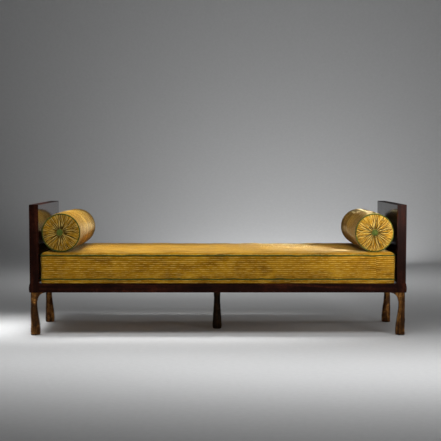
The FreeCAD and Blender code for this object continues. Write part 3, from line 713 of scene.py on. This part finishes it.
def rounded_loop(half_x, half_y, radius, step):
    """Points round a rectangle with rounded corners, about a step apart."""
    points = []
    quarter = max(4, int(round(radius * math.pi / 2 / step)))
    for turn, (sx, sy) in enumerate(((1, 1), (-1, 1), (-1, -1), (1, -1))):
        centre = np.array([sx * (half_x - radius), sy * (half_y - radius)])
        angles = (turn + np.arange(quarter + 1) / quarter) * (math.pi / 2)
        corner = centre + radius * np.column_stack([np.cos(angles), np.sin(angles)])
        if points:
            points.append(straight(points[-1][-1], corner[0], step))
        points.append(corner)
    points.append(straight(points[-1][-1], points[0][0], step))
    return np.concatenate(points)


def straight(start, end, step):
    """Points strictly between two others."""
    count = max(2, int(round(np.linalg.norm(end - start) / step)))
    part = (np.arange(1, count) / count)[:, None]
    return start * (1.0 - part) + end * part


# ---------------------------------------------------------------- bolsters

def bolster_profile(radius, half, rim):
    """Radius and place along the axis from one button to the other, and the rows of the rims."""
    out = np.linspace(0.010, radius - 0.002, CAP_ROWS)
    dome = np.sin(np.pi * np.clip((out - 0.012) / (radius - 0.012), 0, 1)) ** 0.8
    cap = np.column_stack([out, -(rim + 0.0015) - 0.55 * (half - rim) * dome])
    along = np.linspace(-rim, rim, BODY_ROWS)
    fat = 1.0 - np.exp(-(rim - np.abs(along)) / 0.014)
    body = np.column_stack([radius + BOLSTER_BULGE * fat, along])
    other = cap[::-1] * np.array([1.0, -1.0])
    profile = np.concatenate([cap, body, other])
    return profile, len(cap), len(cap) + len(body) - 1


def bolster_skin(profile, front_rim, rear_rim):
    """The profile turned round the axis: points, faces, cloth map, and which faces are ends."""
    count = BOLSTER_SEGMENTS
    turns = np.arange(count) * (2.0 * math.pi / count)
    ring = np.column_stack([np.cos(turns), np.zeros(count), np.sin(turns)])
    points = profile[:, :1, None] * ring[None, :, :]
    points[:, :, 1] = profile[:, 1:2]
    faces, uv, caps = [], [], []
    for row in range(len(profile) - 1):
        cap = row < front_rim or row >= rear_rim
        near, far = profile[row:row + 2, 0 if cap else 1]
        for turn in range(count):
            after = (turn + 1) % count
            faces.append((row * count + turn, (row + 1) * count + turn,
                          (row + 1) * count + after, row * count + after))
            here, further = (step / count * BOLSTER_CLOTH_ROUND for step in (turn, turn + 1))
            uv += [(here, near), (here, far), (further, far), (further, near)]
            caps.append(cap)
    return points.reshape(-1, 3), faces, uv, caps


def make_bolster(side, cloth, gathered, trim, button_cloth):
    """A bolster lying on the mattress: its velvet, the cords round its ends and its buttons."""
    name = f"bolster_{side}"
    low, high = (np.array(corner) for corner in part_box(name + "_cover"))
    ring_low, ring_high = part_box(name + "_piping_front")
    centre = (low + high) / 2
    radius = (high[0] - low[0]) / 2
    half = (high[1] - low[1]) / 2
    cord = (ring_high.y - ring_low.y) / 2
    rim = abs(ring_low.y + cord)
    profile, front_rim, rear_rim = bolster_profile(radius - BOLSTER_SLACK, half, rim)
    points, faces, uv, caps = bolster_skin(profile, front_rim, rear_rim)
    piece = new_piece(name + "_velvet", points, faces, uv)
    set_material(piece, cloth, gathered)
    piece.data.polygons.foreach_set("material_index", np.array(caps, dtype=np.int32))
    last = len(profile) - 1
    held_rows = [0, 1, 2, front_rim, rear_rim, last - 2, last - 1, last]
    swell(piece, [row * BOLSTER_SEGMENTS + turn for row in held_rows
                  for turn in range(BOLSTER_SEGMENTS)], BOLSTER_SWELL)
    subdivide(piece)
    close_holes(piece)
    points = read_points(piece.data)
    fold, crest = gather_ends(points, radius, rim, BUTTON_OFF[side], GATHER_SEED[side])
    points += body_creases(points, radius, rim, CREASE_SEED[side])

    # It lies on the mattress, and is flat there.
    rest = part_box("mattress_cover")[1].z + BOLSTER_SAG - centre[2] + BOLSTER_FLAT
    pressed = rest + BOLSTER_FLAT * (np.exp((points[:, 2] - rest) / BOLSTER_FLAT) - 1.0)
    points[:, 2] = np.where(points[:, 2] < rest, pressed, points[:, 2])
    limit = half + 0.006
    points[:, 1] = np.clip(points[:, 1], -limit, limit)
    write_points(piece, points + centre)
    # Fold and crest are kept for the ends' material, which paints shade into the folds and highlights
    # onto the crests.
    for layer_name, values in (("fold", fold), ("crest", crest)):
        layer = piece.data.attributes.new(layer_name, "FLOAT", "POINT")
        layer.data.foreach_set("value", values.astype(np.float32))
    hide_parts(name + "_cover", name + "_filling")
    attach(piece, name)
    for face, sign in (("front", -1.0), ("rear", 1.0)):
        make_rim_cord(name, face, sign, centre, radius, rim, cord, trim)
        make_button(name, face, sign, BUTTON_OFF[side], button_cloth)


def gather_ends(points, radius, rim, button, seed):
    """Draw a bolster's two ends in to their buttons in folds.

    Gives, for each point, how deep in a fold it lies and how near to a fold's crest.
    """
    chance = np.random.default_rng(seed)
    from_axis = np.hypot(points[:, 0], points[:, 2])
    aside, above = points[:, 0] - button[0], points[:, 2] - button[1]
    out = np.hypot(aside, above)
    turn = np.arctan2(above, aside)
    fold, crest = np.zeros(len(points)), np.zeros(len(points))
    for sign in (-1.0, 1.0):
        end = (sign * points[:, 1] > rim + 0.0005) & (from_axis < radius - 0.0005)
        for number, from_button in ((CAP_FOLDS, True), (RIM_FOLDS, False)):
            for k in range(number):
                angle = (k + chance.uniform(-0.34, 0.34)) * 2.0 * math.pi / number
                lean = chance.normal(0.0, 1.6 if from_button else 3.0)
                width = chance.uniform(0.0013, 0.0030)
                strength = chance.uniform(0.45, 1.0)
                if from_button:
                    reach = chance.uniform(0.070, radius + 0.030)
                    along = smooth_step(0.014, 0.022, out)
                    along *= 1.0 - smooth_step(0.45 * reach, reach, out)
                else:
                    reach = chance.uniform(0.050, 0.082)
                    along = 0.72 * smooth_step(reach, reach + 0.016, out)
                    along *= 1.0 - 0.75 * smooth_step(radius - 0.010, radius, out)
                beside = chance.choice((-1.0, 1.0)) * 2.0 * width
                away = turn - angle - lean * (out - 0.05)
                away = np.remainder(away + math.pi, 2.0 * math.pi) - math.pi
                away = away * out + 0.0005 * np.sin(out * 260.0 + 7.0 * k)
                valley = np.exp(-(np.abs(away) / width) ** 1.4)
                ridge = np.exp(-((away - beside) / (0.8 * width)) ** 2)
                fold = np.maximum(fold, np.where(end, strength * along * valley, 0.0))
                crest = np.maximum(crest, np.where(end, strength * along * ridge, 0.0))
        drawn = BUTTON_PULL * smooth_step(0.045, 0.016, out)
        points[:, 1] -= sign * np.where(end, drawn + FOLD_DEPTH * fold - CREST_HEIGHT * crest, 0.0)
    return fold, crest


def body_creases(points, radius, rim, seed):
    """Puckers beside the cords and soft hollows along a bolster's side, as a move of each point."""
    out = np.hypot(points[:, 0], points[:, 2])
    away = rim - np.abs(points[:, 1])
    side = (away > 0) & (out > 0.8 * radius)
    turn = np.arctan2(points[:, 2], points[:, 0])
    pucker = np.exp(-away / 0.016) * smooth_step(0.0, 0.006, away)
    pucker *= 0.0011 * (np.sin(46 * turn + 2.0 * np.sin(3 * turn + seed)) - 0.6)
    wide = 0.0014 * ripple(points * np.array([1.0, 0.55, 1.0]), 0.10, seed)
    narrow = 0.0007 * ripple(points, 0.035, seed + 1)
    hollow = smooth_step(0.0, 0.05, away) * (wide + narrow)
    push = np.where(side, pucker + hollow, 0.0)
    outward = np.column_stack([points[:, 0], np.zeros(len(points)), points[:, 2]])
    return outward * (push / np.maximum(out, HAIR))[:, None]


def make_rim_cord(name, face, sign, centre, radius, rim, cord, trim):
    """The piping round one end of a bolster."""
    turns = np.arange(CORD_POINTS) * (2.0 * math.pi / CORD_POINTS)
    path = np.column_stack([np.cos(turns), np.zeros(CORD_POINTS), np.sin(turns)])
    path *= radius + 0.0006
    path[:, 1] = sign * rim
    path[:, 1] += 0.0007 * ripple(path, 0.05, 71)
    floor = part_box("mattress_cover")[1].z + 0.0004 + cord - centre[2]
    path[:, 2] = np.maximum(path[:, 2], floor)
    thick = cord * (0.95 + 0.05 * ripple(path, 0.014, 72))
    ring = tube(f"{name}_cord_{face}", path + centre, np.array([0.0, 1.0, 0.0]), thick)
    set_material(ring, trim)
    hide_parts(f"{name}_piping_{face}")
    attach(ring, name)


def make_button(name, face, sign, off, cloth):
    """A cloth-covered button, domed, with the cloth pleated round its edge."""
    low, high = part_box(f"{name}_button_{face}")
    centre = (low + high) / 2 + Vector((off[0], 0.0, off[1]))
    radius = (high.x - low.x) / 2
    height = high.y - low.y
    rings, count = BUTTON_RINGS, BUTTON_POINTS
    turns = np.arange(count) * (2.0 * math.pi / count)
    points, faces = [], []
    for ring in range(rings + 1):
        lean = ring / rings * math.radians(118)
        out = radius * math.sin(lean) * (1.0 + 0.030 * np.cos(22 * turns) * (ring / rings) ** 2)
        rise = np.full(count, sign * height * (0.72 * math.cos(lean) - 0.22))
        points.append(np.column_stack([out * np.cos(turns), rise, out * np.sin(turns)]))
    order = int(-sign)                    # the faces of the rear button are turned over
    for ring in range(rings):
        here, there = ring * count, (ring + 1) * count
        for turn in range(count):
            after = (turn + 1) % count
            faces.append((here + turn, here + after, there + after, there + turn)[::order])
    faces.append([rings * count + turn for turn in range(count)][::order])
    points = np.concatenate(points) + np.array(centre)
    piece = new_piece(f"{name}_covered_button_{face}", points, faces)
    set_material(piece, cloth)
    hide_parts(f"{name}_button_{face}")
    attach(piece, name)


# ---------------------------------------------------------------- studio

def make_studio():
    """A round studio: a pale floor that curves up into a plain grey wall on every side."""
    flat, bend, top, count = 4.8, 4.0, 9.0, 128
    profile = [(flat * part, 0.0) for part in (0.2, 0.5, 0.8, 1.0)]
    profile += [(flat + bend * math.sin(lean), bend * (1.0 - math.cos(lean)))
                for lean in np.linspace(0.0, math.pi / 2, 25)[1:]]
    profile.append((flat + bend, top))
    around = 2.0 * math.pi * np.arange(count) / count
    points = [(0.0, 0.0, 0.0)]
    for out, height in profile:
        points += [(out * math.cos(turn), out * math.sin(turn), height) for turn in around]
    faces = [(0, 1 + k, 1 + (k + 1) % count) for k in range(count)]
    for ring in range(len(profile) - 1):
        for k in range(count):
            one, two = 1 + ring * count + k, 1 + ring * count + (k + 1) % count
            faces.append((one, one + count, two + count, two))
    studio = new_piece("studio", points, faces)
    look = Look("studio_paper", Roughness=0.92, Specular_IOR_Level=0.1)
    fibre = look.noise(look.place(), 35.0, 4.0)
    colour = look.ramp(fibre, (0.3, (0.57, 0.575, 0.58)), (0.7, (0.60, 0.605, 0.61)))
    set_material(studio, look.finish(Base_Color=colour))


def area_light(name, place, aim, size, power, spread):
    """A soft white light that the camera doesn't see; spread is in degrees."""
    data = bpy.data.lights.new(name, "AREA")
    data.shape = "RECTANGLE"
    data.size, data.size_y = size
    data.energy = power
    data.spread = math.radians(spread)
    light = bpy.data.objects.new(name, data)
    light.location = place
    light.rotation_euler = (Vector(aim) - Vector(place)).to_track_quat("-Z", "Y").to_euler()
    light.visible_camera = False
    bpy.context.collection.objects.link(light)


def make_lights():
    """Light from above along the bed, more light on the right end, a pool on the floor and a lit
    wall.
    """
    area_light("pool_left", (-1.4, -1.12, 1.9), (-1.4, -1.12, 0.0), (3.0, 0.5), 14.0, 105.0)
    area_light("pool_right", (1.3, -1.45, 1.9), (1.3, -1.65, 0.0), (3.2, 0.5), 18.5, 105.0)
    area_light("overhead", (-0.60, -0.10, 1.8), (-0.60, -0.10, 0.4), (2.4, 0.4), 8.8, 46.0)
    area_light("front", (0.3, -6.4, 1.5), (0.0, 0.0, 0.4), (2.0, 1.0), 2.0, 60.0)
    area_light("front_right", (2.1, -2.2, 1.15), (0.3, -0.3, 0.45), (0.6, 1.0), 4.0, 110.0)
    area_light("right_end", (1.7, -2.3, 1.25), (0.92, -0.4, 0.77), (0.4, 0.4), 1.7, 24.0)
    area_light("right", (4.0, 0.2, 1.2), (-0.8, 0.0, 0.55), (0.8, 1.2), 3.0, 70.0)
    area_light("left", (-4.4, -0.6, 1.2), (-0.8, 0.0, 0.3), (0.8, 1.6), 2.0, 90.0)
    area_light("wall_low", (0.6, 4.0, 0.9), (0.8, 8.8, 1.2), (2.2, 0.6), 40.0, 130.0)
    area_light("wall_high", (0.8, 3.2, 3.4), (1.1, 8.0, 1.2), (3.0, 1.0), 7.0, 130.0)
    area_light("floor_back", (0.3, 2.7, 2.6), (0.3, 2.8, 0.0), (3.0, 1.0), 20.0, 110.0)
    world = bpy.data.worlds.new("studio_air")
    world.use_nodes = True
    air = world.node_tree.nodes["Background"].inputs
    air["Color"].default_value = (1.0, 1.0, 1.0, 1.0)
    air["Strength"].default_value = 0.066
    bpy.context.scene.world = world


def make_camera():
    """A camera almost square on to the front, and a little above the bed."""
    data = bpy.data.cameras.new("camera")
    data.lens = CAMERA_LENS
    data.sensor_width = 36.0
    data.clip_end = 60.0
    camera = bpy.data.objects.new("camera", data)
    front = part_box("front_rail")[0].y
    camera.location = (CAMERA_ASIDE, front - CAMERA_BACK, CAMERA_HEIGHT)
    camera.rotation_euler = (math.radians(90.0 - CAMERA_DOWN), 0.0, 0.0)
    bpy.context.collection.objects.link(camera)
    bpy.context.scene.camera = camera


def main():
    """Build every visible piece, the studio, the lights and the camera."""
    make_camera()
    dress_frame()
    make_legs()
    velvet = ribbed_velvet("ribbed_velvet")
    ringed = ribbed_velvet("ringed_velvet", 0.55)
    gathered = gathered_velvet("gathered_velvet")
    cord = green_cloth("green_cord", (0.015, 0.024, 0.004), (0.075, 0.096, 0.015))
    button = green_cloth("green_button", (0.022, 0.036, 0.005), (0.120, 0.150, 0.024))
    make_mattress(velvet, cord)
    for side in ("left", "right"):
        make_bolster(side, ringed, gathered, cord, button)
    make_studio()
    make_lights()
    bpy.context.scene.view_settings.view_transform = "Standard"


main()
